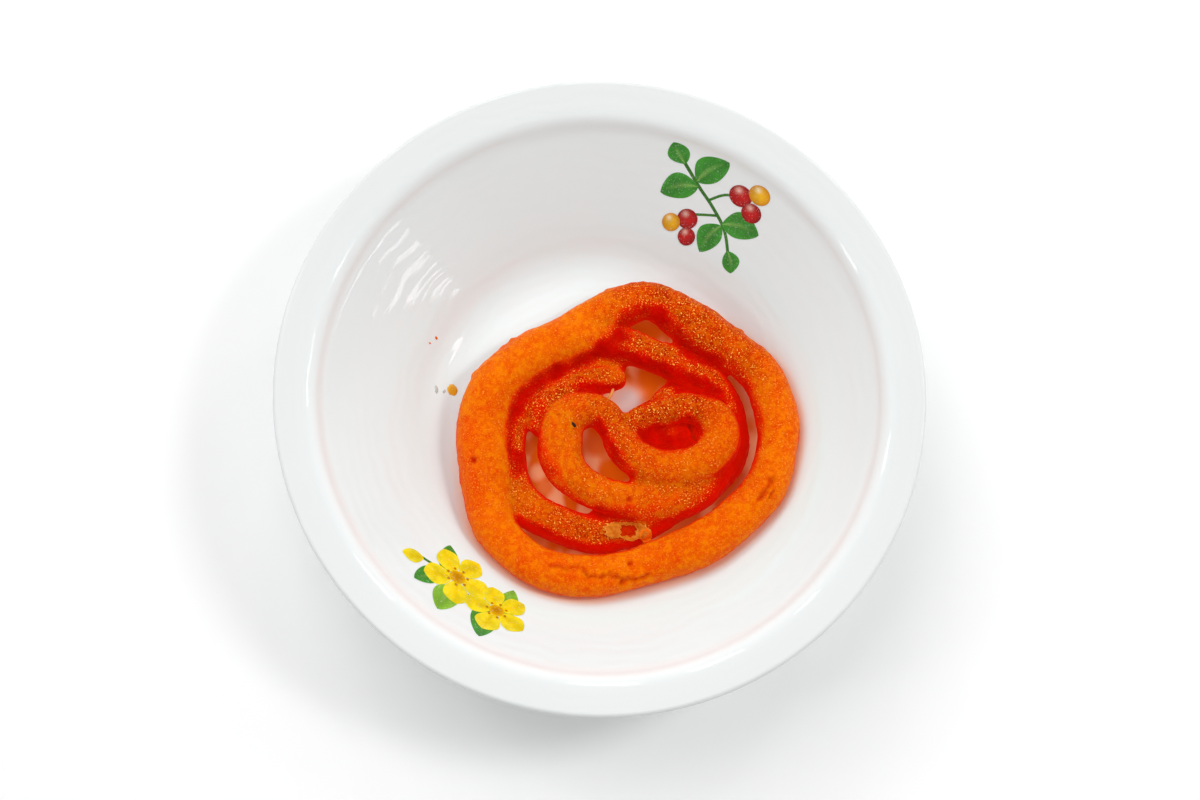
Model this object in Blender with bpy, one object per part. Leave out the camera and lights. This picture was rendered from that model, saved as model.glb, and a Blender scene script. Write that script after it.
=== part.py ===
"""A jalebi lying in a white table bowl.

The bowl is one turned piece: foot ring, flat floor, straight flaring wall, a
short steeper band and a nearly level rim with a rounded lip.  The jalebi is
one fried rope of batter, laid as a spiral that fuses wherever it meets itself.
It leans on the bowl's wall at +X and rests on the floor at -X.
Origin: middle of the bowl's foot, on the ground.  Z is up.
"""

import math

import bmesh
import bpy
import numpy as np

MM = 0.001

# Bowl, in millimetres
LIP_R = 90.0
LIP_Z = 43.4
RIM_INNER_R = 79.6
RIM_INNER_Z = 40.4
BAND_FOOT_R = 77.2
BAND_FOOT_Z = 36.2
FLOOR_R = 46.3
FLOOR_Z = 4.2
FLOOR_THICK = 2.6
WALL_THICK = 2.8
RIM_THICK = 2.3
FOOT_R = 46.0
FOOT_WIDE = 3.0
BOWL_SIDES = 72

# Rope, in millimetres
TURN_STEP = 4.7
BEND_STEP = 3.8
ROPE_SIDES = 14
ROPE_FLATNESS = 0.9
CAP_RINGS = 3

# Knots along the rope: x, y, height of the middle, half of the width.
# One long run: the outer turn, then over its own start into the lower turn,
# which ends tucked in below the outer turn at -X.
TURNS = (
    (-10.5, 22.4, 12.4, 5.4),
    (-5.2, 24.9, 12.8, 6.0),
    (-0.6, 27.2, 12.8, 6.2),
    (7.2, 30.9, 13.4, 6.3),
    (15.5, 32.8, 13.8, 5.7),
    (26.8, 25.8, 14.6, 7.0),
    (39.2, 17.2, 15.6, 6.3),
    (47.2, 9.6, 16.8, 6.3),
    (51.2, -2.5, 18.7, 6.1),
    (51.0, -12.5, 19.4, 5.9),
    (47.8, -23.0, 20.2, 6.2),
    (39.2, -33.0, 19.0, 6.4),
    (29.4, -40.0, 17.6, 6.6),
    (16.5, -44.8, 15.8, 5.9),
    (3.0, -48.6, 16.0, 6.1),
    (-8.5, -48.8, 16.6, 5.9),
    (-19.2, -45.4, 16.2, 5.8),
    (-29.2, -35.4, 13.8, 6.0),
    (-32.0, -25.0, 12.2, 7.2),
    (-33.0, -14.0, 12.0, 7.9),
    (-33.2, -4.5, 12.0, 7.8),
    (-30.6, 5.6, 12.2, 7.6),
    (-24.3, 12.6, 12.4, 7.3),
    (-13.5, 19.4, 12.8, 6.9),
    (-2.0, 22.0, 13.0, 6.8),
    (7.0, 19.4, 12.8, 5.6),
    (15.5, 16.6, 12.6, 5.1),
    (26.8, 12.0, 12.8, 5.6),
    (33.2, 7.4, 12.6, 5.1),
    (37.4, 1.4, 11.8, 4.9),
    (39.0, -6.0, 11.2, 5.0),
    (38.4, -13.5, 11.2, 5.2),
    (34.2, -20.0, 11.2, 5.0),
    (27.8, -26.0, 11.2, 4.9),
    (20.2, -31.0, 10.8, 4.9),
    (12.0, -34.6, 10.4, 5.2),
    (0.5, -36.4, 10.0, 5.5),
    (-12.5, -32.8, 10.0, 5.7),
    (-22.0, -27.0, 10.0, 5.6),
    (-25.8, -15.0, 10.0, 4.9),
    (-25.0, -2.5, 10.0, 5.0),
    (-20.0, 8.0, 10.0, 5.2),
    (-12.0, 13.4, 10.0, 5.0),
    (-3.0, 15.4, 9.8, 4.6),
    (5.5, 14.4, 9.6, 4.2),
)
# The upper inner loop: it leaves the lower turn, rounds the middle and hooks.
INNER_LOOP = (
    (35.2, -17.6, 12.0, 5.0),
    (29.4, -23.6, 13.0, 5.7),
    (22.2, -26.6, 13.8, 6.1),
    (14.4, -27.2, 14.2, 6.1),
    (6.0, -26.6, 14.2, 5.4),
    (-5.2, -22.2, 14.2, 5.4),
    (-10.6, -15.7, 14.2, 6.1),
    (-11.0, -8.6, 14.2, 6.6),
    (-8.4, -2.4, 14.2, 6.0),
    (-0.8, -0.6, 14.4, 5.1),
    (4.2, -5.2, 14.8, 5.1),
    (8.2, -12.9, 15.6, 5.5),
    (14.6, -17.4, 16.2, 5.6),
    (23.2, -18.0, 16.8, 5.3),
    (30.4, -15.8, 17.2, 5.7),
    (35.0, -9.3, 17.4, 6.1),
    (32.6, -2.7, 17.4, 5.2),
    (26.4, -0.4, 16.8, 4.3),
    (18.0, -1.4, 16.2, 4.1),
    (10.6, -3.6, 15.4, 3.5),
)
# A stub that leaves the loop's left side and ends above the middle.
STUB = (
    (-16.8, -5.0, 11.0, 3.4),
    (-14.3, 1.8, 11.6, 4.0),
    (-8.0, 6.8, 12.0, 4.5),
    (0.6, 8.8, 12.2, 4.4),
    (5.4, 9.4, 12.2, 3.8),
)
# The rope's buried end: from under the lower turn it rises into the opening
# as a lump, and then passes under the hook.
BURIED_END = (
    (29.0, 7.0, 9.8, 4.6),
    (21.4, 4.4, 10.0, 4.2),
    (18.6, -2.0, 10.6, 5.2),
    (18.6, -10.0, 11.0, 5.6),
)
# The batter that closes the bottom of the hook's pit.
PIT_FLOOR = (
    (13.6, -7.4, 10.8, 6.2),
    (20.5, -9.2, 10.8, 6.7),
    (28.5, -9.0, 10.8, 6.4),
)


def clear_scene():
    for old in list(bpy.data.objects):
        bpy.data.objects.remove(old, do_unlink=True)


def material(name, colour, roughness):
    made = bpy.data.materials.new(name)
    made.use_nodes = True
    shader = made.node_tree.nodes["Principled BSDF"]
    shader.inputs["Base Color"].default_value = (*colour, 1.0)
    shader.inputs["Roughness"].default_value = roughness
    shader.inputs["Metallic"].default_value = 0.0
    return made


def rounded(corners):
    """A polyline through (r, z, fillet radius) corners, with each one rounded."""
    points = [np.array(corners[0][:2])]
    for before, here, after in zip(corners, corners[1:], corners[2:]):
        corner = np.array(here[:2])
        back = np.array(before[:2]) - corner
        ahead = np.array(after[:2]) - corner
        back /= np.linalg.norm(back)
        ahead /= np.linalg.norm(ahead)
        half = math.acos(np.clip(back @ ahead, -1.0, 1.0)) / 2
        turn = math.pi - 2 * half
        if here[2] <= 0.0 or turn < 0.01:
            points.append(corner)
            continue
        middle = corner + (back + ahead) / np.linalg.norm(back + ahead) * here[2] / math.sin(half)
        first = corner + back * here[2] / math.tan(half)
        steps = max(1, round(math.degrees(turn) / (18.0 if here[2] > 3.0 else 42.0)))
        way = math.copysign(1.0, back[1] * ahead[0] - back[0] * ahead[1])
        for i in range(steps + 1):
            angle = way * turn * i / steps
            spin = np.array(
                ((math.cos(angle), -math.sin(angle)), (math.sin(angle), math.cos(angle)))
            )
            points.append(middle + spin @ (first - middle))
    points.append(np.array(corners[-1][:2]))
    return points


def bowl_profile():
    """Half section, from the middle of the floor over the lip to the underside."""
    along = np.array((BAND_FOOT_R - FLOOR_R, BAND_FOOT_Z - FLOOR_Z))
    along /= np.linalg.norm(along)
    out = np.array((along[1], -along[0])) * WALL_THICK
    under_z = FLOOR_Z - FLOOR_THICK
    rise = (LIP_Z - RIM_INNER_Z) / (LIP_R - RIM_INNER_R)
    return rounded(
        (
            (0.0, FLOOR_Z, 0.0),
            (FLOOR_R, FLOOR_Z, 16.0),
            (BAND_FOOT_R, BAND_FOOT_Z, 6.0),
            (RIM_INNER_R, RIM_INNER_Z, 4.0),
            (LIP_R, LIP_Z, 1.1),
            (LIP_R, LIP_Z - RIM_THICK, 1.1),
            (RIM_INNER_R + 2.2, RIM_INNER_Z - RIM_THICK + 2.0 * rise, 3.0),
            (BAND_FOOT_R + 2.3, BAND_FOOT_Z - 1.8, 4.0),
            (FLOOR_R + out[0] + 1.4, FLOOR_Z + out[1] + 1.4, 1.0),
            (FOOT_R, 0.0, 0.5),
            (FOOT_R - FOOT_WIDE, 0.0, 0.5),
            (FOOT_R - FOOT_WIDE - 0.8, under_z, 0.6),
            (0.0, under_z, 0.0),
        )
    )


def turned(name, profile, sides, look):
    """The profile spun round Z; its first and last points lie on the axis."""
    mesh = bmesh.new()
    low = mesh.verts.new((0.0, 0.0, profile[0][1] * MM))
    high = mesh.verts.new((0.0, 0.0, profile[-1][1] * MM))
    rings = []
    for radius, height in profile[1:-1]:
        ring = []
        for i in range(sides):
            angle = 2 * math.pi * i / sides
            ring.append(
                mesh.verts.new(
                    (
                        radius * math.cos(angle) * MM,
                        radius * math.sin(angle) * MM,
                        height * MM,
                    )
                )
            )
        rings.append(ring)
    for i in range(sides):
        j = (i + 1) % sides
        mesh.faces.new((low, rings[0][i], rings[0][j]))
        mesh.faces.new((high, rings[-1][j], rings[-1][i]))
        for inner, outer in zip(rings, rings[1:]):
            mesh.faces.new((inner[i], outer[i], outer[j], inner[j]))
    return finished(name, mesh, look)


def finished(name, mesh, look):
    bmesh.ops.recalc_face_normals(mesh, faces=mesh.faces)
    data = bpy.data.meshes.new(name)
    mesh.to_mesh(data)
    mesh.free()
    data.materials.append(look)
    data.shade_smooth()
    data.set_sharp_from_angle(angle=math.radians(40.0))
    made = bpy.data.objects.new(name, data)
    bpy.context.scene.collection.objects.link(made)
    return made


def spline(knots, step):
    """Evenly spaced stations on a centripetal Catmull-Rom curve through the knots."""
    knots = np.array(knots)
    padded = np.vstack((2 * knots[0] - knots[1], knots, 2 * knots[-1] - knots[-2]))
    fine = []
    for p0, p1, p2, p3 in zip(padded, padded[1:], padded[2:], padded[3:]):
        t1 = np.linalg.norm((p1 - p0)[:3]) ** 0.5
        t2 = t1 + np.linalg.norm((p2 - p1)[:3]) ** 0.5
        t3 = t2 + np.linalg.norm((p3 - p2)[:3]) ** 0.5
        for t in np.linspace(t1, t2, 24, endpoint=False):
            a1 = (t1 - t) / t1 * p0 + t / t1 * p1
            a2 = (t2 - t) / (t2 - t1) * p1 + (t - t1) / (t2 - t1) * p2
            a3 = (t3 - t) / (t3 - t2) * p2 + (t - t2) / (t3 - t2) * p3
            b1 = (t2 - t) / t2 * a1 + t / t2 * a2
            b2 = (t3 - t) / (t3 - t1) * a2 + (t - t1) / (t3 - t1) * a3
            fine.append((t2 - t) / (t2 - t1) * b1 + (t - t1) / (t2 - t1) * b2)
    fine.append(knots[-1])
    fine = np.array(fine)
    length = np.r_[0.0, np.cumsum(np.linalg.norm(np.diff(fine[:, :3], axis=0), axis=1))]
    count = max(2, round(length[-1] / step))
    wanted = np.linspace(0.0, length[-1], count + 1)
    return np.array([np.interp(wanted, length, column) for column in fine.T]).T


def with_caps(stations):
    """Adds shrinking stations past both ends, so that the rope ends are round."""
    def cap(end, inward):
        away = (end - inward)[:3]
        away /= np.linalg.norm(away)
        made = []
        for i in range(1, CAP_RINGS + 1):
            angle = math.pi / 2 * i / (CAP_RINGS + 0.35)
            place = end[:3] + away * end[3] * 0.8 * math.sin(angle)
            made.append((*place, end[3] * math.cos(angle)))
        return made

    head = cap(stations[0], stations[1])[::-1]
    tail = cap(stations[-1], stations[-2])
    return np.vstack((head, stations, tail))


def rope(name, knots, step, look):
    stations = with_caps(spline(knots, step))
    tangents = np.gradient(stations[:, :3], axis=0)
    tangents /= np.linalg.norm(tangents, axis=1)[:, None]
    mesh = bmesh.new()
    rings = []
    for station, tangent in zip(stations, tangents):
        side = np.cross(tangent, (0.0, 0.0, 1.0))
        side /= np.linalg.norm(side)
        top = np.cross(side, tangent)
        ring = []
        for i in range(ROPE_SIDES):
            angle = 2 * math.pi * i / ROPE_SIDES
            place = (
                station[:3]
                + side * station[3] * math.cos(angle)
                + top * station[3] * ROPE_FLATNESS * math.sin(angle)
            )
            ring.append(mesh.verts.new(place * MM))
        rings.append(ring)
    for first, second in zip(rings, rings[1:]):
        for i in range(ROPE_SIDES):
            j = (i + 1) % ROPE_SIDES
            mesh.faces.new((first[i], first[j], second[j], second[i]))
    mesh.faces.new(rings[0])
    mesh.faces.new(rings[-1])
    return finished(name, mesh, look)


def join(body, added):
    """Fuses the added rope into the body, with what crosses itself made one solid."""
    fuse = body.modifiers.new("fuse " + added.name, "BOOLEAN")
    fuse.operation = "UNION"
    fuse.solver = "EXACT"
    fuse.use_self = True
    fuse.object = added
    added.hide_render = True
    added.display_type = "WIRE"


def main():
    clear_scene()
    ware = material("white glazed ware", (0.86, 0.86, 0.85), 0.12)
    crust = material("orange fried crust", (0.88, 0.17, 0.008), 0.38)
    turned("bowl", bowl_profile(), BOWL_SIDES, ware)
    jalebi = rope("jalebi", TURNS, TURN_STEP, crust)
    join(jalebi, rope("loop cutter", INNER_LOOP, BEND_STEP, crust))
    join(jalebi, rope("stub cutter", STUB, BEND_STEP, crust))
    join(jalebi, rope("buried cutter", BURIED_END, BEND_STEP, crust))
    join(jalebi, rope("pit cutter", PIT_FLOOR, BEND_STEP, crust))


main()
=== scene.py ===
"""Looks of a jalebi lying in a white table bowl, over the CAD frame.

Tables are in millimetres, in the frame's axes.  The jalebi's skin is the same
fried rope as the solid's, at a fine pitch, with its lumps, cracks and scars.
"""

import math

import bmesh
import bpy
import numpy as np
from mathutils import Matrix, Vector, noise
from mathutils.bvhtree import BVHTree
from numpy.linalg import norm


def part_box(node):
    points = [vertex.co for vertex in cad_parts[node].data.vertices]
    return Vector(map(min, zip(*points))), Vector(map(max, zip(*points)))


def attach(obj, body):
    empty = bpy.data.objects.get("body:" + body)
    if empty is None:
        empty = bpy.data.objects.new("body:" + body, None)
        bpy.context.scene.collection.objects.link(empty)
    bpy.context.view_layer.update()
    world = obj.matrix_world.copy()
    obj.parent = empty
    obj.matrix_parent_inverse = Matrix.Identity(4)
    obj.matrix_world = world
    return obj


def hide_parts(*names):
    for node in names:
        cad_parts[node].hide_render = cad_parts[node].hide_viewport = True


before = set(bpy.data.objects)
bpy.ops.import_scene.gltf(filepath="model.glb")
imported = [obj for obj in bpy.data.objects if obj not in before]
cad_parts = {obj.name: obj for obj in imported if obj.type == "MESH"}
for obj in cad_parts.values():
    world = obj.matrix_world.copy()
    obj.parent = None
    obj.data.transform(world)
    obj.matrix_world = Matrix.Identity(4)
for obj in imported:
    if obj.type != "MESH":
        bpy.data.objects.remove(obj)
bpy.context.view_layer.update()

MM = 0.001

# Bowl, in millimetres; its outer size comes from the frame
BOWL_LOW, BOWL_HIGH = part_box("bowl")
LIP_R = (BOWL_HIGH[0] - BOWL_LOW[0]) / 2 / MM
LIP_Z = BOWL_HIGH[2] / MM + 0.4
RIM_INNER_R = 79.6
RIM_INNER_Z = 40.4
BAND_FOOT_R = 77.2
BAND_FOOT_Z = 36.2
FLOOR_R = 46.3
FLOOR_Z = 4.2
FLOOR_THICK = 2.6
WALL_THICK = 2.8
RIM_THICK = 2.3
FOOT_R = 46.0
FOOT_WIDE = 3.0
BOWL_SIDES = 240
FLOOR_PITCH = 1.2
WALL_PITCH = 3.0
STAIN_REACH_R = 66.0
# Where light reaches the floor in the middle opening, the painted shade and glow are mostly left off:
# x, y, radius, and by how much
LIT_OPENING_SPOT = (8.6, 4.6, 5)
LIT_OPENING_SHARE = 0.88
# Painted shade and light on the floor between the turns: caramel brown where the turns shade it
# and redden its light, paler where light falls: x, y, radius, and how brown
FLOOR_TONES = (
    (15.5, 27.1, 6, 1), (16, 12, 5, 1), (5.7, 5, 4, 0),
    (44, 7, 7, 1), (46.7, -11.8, 6, 0.05), (-20.9, -9.5, 2.6, 0.9),
    (-17.5, -17, 2.5, 0.1), (-15.2, -21.5, 2.6, 0.8), (-0.7, -9, 3.5, 0.9),
    (-2.8, -15, 2.6, 0.05), (3.5, -16.5, 3.2, 1), (-18.3, -37.2, 4, 0.8),
    (-6.7, -42.8, 3, 0.2), (22.6, -32.9, 8, 0.85),
)
# Faint rings left in the glaze by turning, and how far they stray
RIPPLE_PITCH = 3.3
RIPPLE_HEIGHT = 0.012
RIPPLE_WANDER = 14.0
# How much painted light makes the narrow band paler on its lit side
BAND_LIFT = 0.75

# Rope: x, y, height of the middle, half of the width, and how dry and sugary
# the crust is there, from 0 (smooth, syrupy) to 1 (all crystals)
ROPE_FLATNESS = 0.9
# The outer turn, which goes on as the second turn
TURNS = (
    (-10.5, 22.4, 12.4, 5.4, 0.2), (-5.2, 24.9, 12.8, 6, 0.2), (-0.6, 27.2, 12.8, 6.2, 0.3),
    (7.2, 30.9, 13.4, 6.3, 0.45), (15.5, 32.8, 13.8, 5.7, 0.65), (26.8, 25.8, 14.6, 7, 0.65),
    (39.2, 17.2, 15.6, 6.3, 0.6), (47.2, 9.6, 16.8, 6.3, 0.45), (51.2, -2.5, 18.7, 6.1, 0.3),
    (51, -12.5, 19.4, 5.9, 0.25), (47.8, -23, 20.2, 6.2, 0.25), (39.2, -33, 19, 6.4, 0.15),
    (29.4, -40, 17.6, 6.6, 0.15), (16.5, -44.8, 15.8, 5.9, 0.15), (3, -48.6, 16, 6.1, 0.1),
    (-8.5, -48.8, 16.6, 5.9, 0.1), (-19.2, -45.4, 16.2, 5.8, 0.1), (-29.2, -35.4, 13.8, 6, 0.15),
    (-32, -25, 12.2, 7.2, 0.25), (-33, -14, 12, 7.9, 0.2), (-33.2, -4.5, 12, 7.8, 0.2),
    (-30.6, 5.6, 12.2, 7.6, 0.2), (-24.3, 12.6, 12.4, 7.3, 0.2), (-13.5, 19.4, 12.8, 6.9, 0.2),
    (-2, 22, 13, 6.8, 0.25), (7, 19.4, 12.8, 5.6, 0.7), (15.5, 16.6, 12.6, 5.1, 0.95),
    (26.8, 12, 12.8, 5.6, 1), (33.2, 7.4, 12.6, 5.1, 0.95), (37.4, 1.4, 11.8, 4.9, 0.8),
    (39, -6, 11.2, 5, 0.7), (38.4, -13.5, 11.2, 5.2, 0.7), (34.2, -20, 11.2, 5, 0.7),
    (27.2, -24.9, 11.2, 4.7, 0.5), (19.8, -29.6, 10.8, 4.7, 0.5), (11.8, -34, 10.4, 5, 0.6),
    (0.5, -36.4, 10, 5.5, 0.65), (-12.5, -32.8, 10, 5.7, 0.55), (-22, -27, 10, 5.6, 0.45),
    (-25.8, -15, 10, 4.9, 0.85), (-25, -2.5, 10, 5, 0.8), (-20, 8, 10, 5.2, 0.5),
    (-12, 13.4, 10, 5, 0.3), (-3, 15.4, 9.8, 4.6, 0.3), (5.5, 14.4, 9.6, 4.2, 0.3),
)
# The loop inside them, up to the hook round the pit
INNER_LOOP = (
    (35.2, -17.6, 12, 5, 0.55), (29.4, -23.6, 13, 5.7, 0.6), (22.2, -26.6, 13.8, 6.1, 0.5),
    (14.4, -27.2, 14.2, 6.1, 0.38), (6, -26.6, 14.2, 5.4, 0.35), (-5.2, -22.2, 14.2, 5.4, 0.4),
    (-10.6, -15.7, 14.2, 6.1, 0.3), (-11, -8.6, 14.2, 6.6, 0.3), (-8.4, -2.4, 14.2, 6, 0.4),
    (-0.8, -0.6, 14.4, 5.1, 0.5), (4.2, -5.2, 14.8, 5.1, 0.6), (8.2, -12.9, 15.6, 5.5, 0.5),
    (14.6, -17.4, 16.2, 5.6, 0.42), (23.2, -18, 16.8, 5.3, 0.35), (30.4, -15.8, 17.2, 5.7, 0.35),
    (35, -9.3, 17.4, 6.1, 0.3), (32.6, -2.7, 17.4, 5.2, 0.5), (26.4, -0.4, 16.8, 4.3, 0.8),
    (18, -1.4, 16.2, 4.1, 0.95), (10.6, -3.6, 15.4, 3.5, 0.95),
)
# The free end in the middle, and what shows low between the turns
STUB = (
    (-16.8, -5, 11, 3.4, 0.8),
    (-14.3, 1.8, 11.6, 4, 0.8),
    (-8, 6.8, 12, 4.5, 0.75),
    (0.6, 8.8, 12.2, 4.4, 0.6),
    (5.4, 9.4, 12.2, 3.8, 0.5),
)
BURIED_END = (
    (29, 7, 9.8, 4.6, 0.6),
    (21.4, 4.4, 10, 4.2, 1),
    (18.6, -2, 10.6, 5.2, 1),
    (18.6, -10, 11, 5.6, 0.4),
)
FILLED_NOTCH = (
    (-1.5, -31.4, 9.6, 2.6, 0.4),
    (2.5, -31.8, 9.8, 3, 0.4),
    (7, -31.8, 10, 3, 0.4),
)
PIT_FLOOR = (
    (13.6, -7.4, 10.4, 6.2, 0.2),
    (20.5, -9.2, 10, 6.5, 0.2),
    (28.5, -9, 10, 6.2, 0.2),
)
ROPES = (TURNS, INNER_LOOP, STUB, BURIED_END, PIT_FLOOR, FILLED_NOTCH)
# Frosted places of the crust: place, radius, how dry
FROST_SPOTS = (
    (19.5, 4.6, 14.2, 2.7, 1),
    (13.5, -4.5, 19, 2.6, 0.9),
    (19, -3.6, 19, 2.6, 0.9),
)
# How finely the ropes are made and fused, and their gap to the bowl
STATION_STEP = 1.0
TUBE_SIDES = 36
CAP_RINGS = 6
VOXEL = 0.54
SMOOTH_ROUNDS = 7
JALEBI_GAP = 0.15

# Lumps of the crust: pitch and height
LUMPS = ((17.0, 0.36), (7.5, 0.26), (3.4, 0.2), (1.8, 0.16), (1.2, 0.1))

# Nubs that stand out of the rope's side: place, radius, height
NUBS = (
    (2.9, 36.6, 14, 1.4, 0.7), (-25.4, 21.2, 13, 1.2, 0.7), (-28.2, 19.4, 13, 1.3, 0.5),
    (-36.6, 10.6, 13, 1.3, 0.6), (35.3, 29.6, 15, 1.2, 0.6), (42.6, 23.4, 16, 1.3, 0.6),
    (13.9, -38.2, 15, 1.6, 1),
)
# Small open bubbles: place, radius, depth
BUBBLES = (
    (-36, -16, 18.5, 1, 0.8),
    (8.4, -27.5, 19.5, 0.9, 0.6),
    (6.1, -51.7, 19, 1, 0.6),
    (8.4, -46, 21, 0.9, 0.5),
)
# Cracks in the crust: knots x, y, height, then half width and depth
CRACKS = (
    (
        (
            (-4.9, -47.4, 21.5), (-3.5, -49.7, 21.5), (-0.7, -50, 21.5), (2.7, -49.1, 21.5),
            (6.4, -50.8, 21), (11.2, -50.5, 21), (14, -48.9, 21),
        ),
        0.45,
        0.75,
    ),
    (((-14, -46.5, 21.5), (-9.5, -47.6, 21.5), (-6, -47, 21.5)), 0.5, 0.5),
    (((48.7, -23.1, 25), (46.6, -26.6, 25), (44.8, -28.9, 25)), 0.7, 0.9),
    (((49.4, -26, 24.5), (47.4, -28.6, 24.5)), 0.4, 0.5),
    (((26.2, -3.8, 17), (26.8, -6, 15.5), (27.6, -8.6, 15.5), (27.9, -10.6, 16)), 0.55, 1.3),
)
# Sides and hollows where the crust is painted deep red as shade: half width, depth of the red,
# then knots x, y, height
RED_SHADE_ZONES = (
    (2.4, 0.95, ((2, 17.5, 16.5), (7, 15.6, 16.5), (13, 13.8, 16.5), (19, 11.4, 16))),
    (2.9, 1, ((19, 11.4, 16), (24.5, 8.6, 15.5), (30, 6.2, 15.8), (35, 3.4, 16))),
    (2.4, 0.9, ((23.5, 6, 13.5), (27.5, 4.4, 16), (32, 3, 17))),
    (4.2, 1, ((14.5, -8.2, 13.5), (18, -9.4, 13.5), (22, -10.5, 13.5), (26.5, -9, 14))),
    (1.3, 0.95, ((13.8, 0.3, 16.5), (18, 2, 16), (22, 2.2, 16), (26.6, 2.6, 16))),
    (2.4, 0.95, ((26.5, -9, 15), (27, -6, 15), (25.5, -4.2, 17))),
    (2, 0.75, ((23.5, 19, 15), (25.5, 16, 17), (29.5, 14.5, 16.5), (34, 13.5, 17.5))),
    (1.8, 0.65, ((34, 13.5, 17.5), (37.5, 12, 19), (40.5, 9, 19.5), (43, 5, 19))),
    (1.6, 0.55, ((43, 5, 19), (45, -1, 20.5), (46, -7.5, 21), (45.5, -12, 21))),
    (1.6, 0.85, ((0.5, -5.5, 17), (2.5, -9, 17.5), (5, -14, 18), (9.5, -19.5, 17.5))),
    (2.6, 0.82, ((8, 20.5, 17.5), (7, 24.5, 16.5), (12, 28.5, 18), (18, 27, 18))),
    (2.4, 0.78, ((18, 27, 18), (23.5, 21.5, 18.5), (28.5, 16, 16), (33, 14, 16.5))),
    (2.2, 0.9, ((5.5, 21.5, 17), (0.5, 17, 15.5), (-5.5, 13.5, 13.5), (-11.5, 11, 13.5))),
    (2.4, 0.9, ((-11.5, 11, 13.5), (-16.5, 8, 13.5), (-20.5, 5, 14), (-23.4, 0, 14))),
    (1.7, 0.8, ((-23.4, 0, 14), (-25.6, -6, 13.5), (-25.4, -12, 13.5), (-24, -19, 13.5))),
    (1.8, 0.85, ((-23, -13.5, 13), (-22, -17.5, 13))),
    (2.4, 0.95, ((-22.5, -34, 11), (-17.5, -36.2, 12), (-9, -40, 12), (0, -42.4, 14))),
    (2, 0.85, ((0, -42.4, 14), (8.5, -41, 14), (17, -35.4, 13), (21.5, -31.8, 12))),
    (2.6, 0.8, ((0.3, -30.2, 13.5), (7.5, -30.8, 13.5), (14.7, -29.9, 13.5), (21.1, -27.6, 13.5))),
    (4.5, 0.22, ((-38, -8, 17), (-37.5, -20, 17.5), (-35, -30, 18))),
    (2.1, 0.6, ((-16.5, 1, 15), (-17.5, -6, 14), (-16, -13, 16), (-13, -18.5, 16))),
    (1.3, 0.6, ((-13, -18.5, 16), (-8.5, -24.5, 15.5), (-3, -28.5, 12.5))),
    (1.8, 0.8, ((0, -4.5, 16), (1.5, -8.5, 15.5), (4, -15.5, 16), (9, -19, 13))),
    (1.7, 0.8, ((-9, 2, 15), (-4.5, 3.8, 14.5), (1.5, 4.5, 13.5), (6.5, 6.3, 13.5))),
    (1.9, 0.9, ((-5, 6.2, 15.5), (-2, 6.3, 15.5), (0.5, 5.6, 14.5), (4, 5.4, 14))),
    (1.8, 0.8, ((21.5, -31.8, 13), (28.8, -27.5, 15), (35.5, -21.5, 15), (40, -14.5, 14.5))),
    (1.6, 0.75, ((40, -14.5, 14.5), (42.5, -7.5, 14), (42, -1, 14), (38.5, 6, 14))),
    (1.2, 0.55, ((45.5, -9.5, 20), (44.5, -17.5, 21), (41, -23.5, 21), (36, -30, 20.5))),
)
# Long cracks leave a low step: how far the near side drops and the far side rises
STEP_DROP = -0.2
STEP_RISE = 0.24
STEP_REACH = 1.7

# Torn blister: a thin ochre film round a dark hole, and the flake beside it
BLISTER = (7.8, -35.9)
BLISTER_HALF = (6.7, 2.5)
BLISTER_HOLE = (8.4, -35.8)
BLISTER_HOLE_HALF = (2.3, 1.7)
BLISTER_HOLE_DEPTH = 1.1
BLISTER_Z = 15.0
BLISTER_TURN = -4.0
FLAKE = (13.4, -37.2)
FLAKE_HALF = (1.7, 1.9)
FLAKE_TURN = 30.0

# Things that lie about: x, y, half width, half length, height, turn
SPECK = (-7.2, -5.8, 0.45, 0.9, 0.35, 40.0)
SYRUP_DROP = (-42.8, 7.8, 1.5, 1.7, 0.28, 20.0)
CLEAR_DROPS = (
    (-47.4, 7.6, 0.5, 1.2, 0.25, 5),
    (-45.2, 7.2, 0.35, 0.6, 0.2, -20),
)
CRUMBS = ((-47.4, 22.2, 0.35, 0.45, 0.3, 10.0), (-49.2, 20.4, 0.25, 0.3, 0.2, 60.0))
RED_DROP = (34.2, -28.5, 0.6, 0.7, 0.3, 0.0)
STRAND = ((3.4, 8.0, 14.4), (4.3, 5.8, 13.6), (3.6, 3.8, 14.2), (2.2, 1.6, 16.6))
STRAND_HALF = 0.45

# Prints on the wall: azimuth, radius; sizes in the print's own plane
BLOSSOM_PRINT = (-123.0, 66.3)
BERRY_PRINT = (60.0, 67.0)


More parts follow.
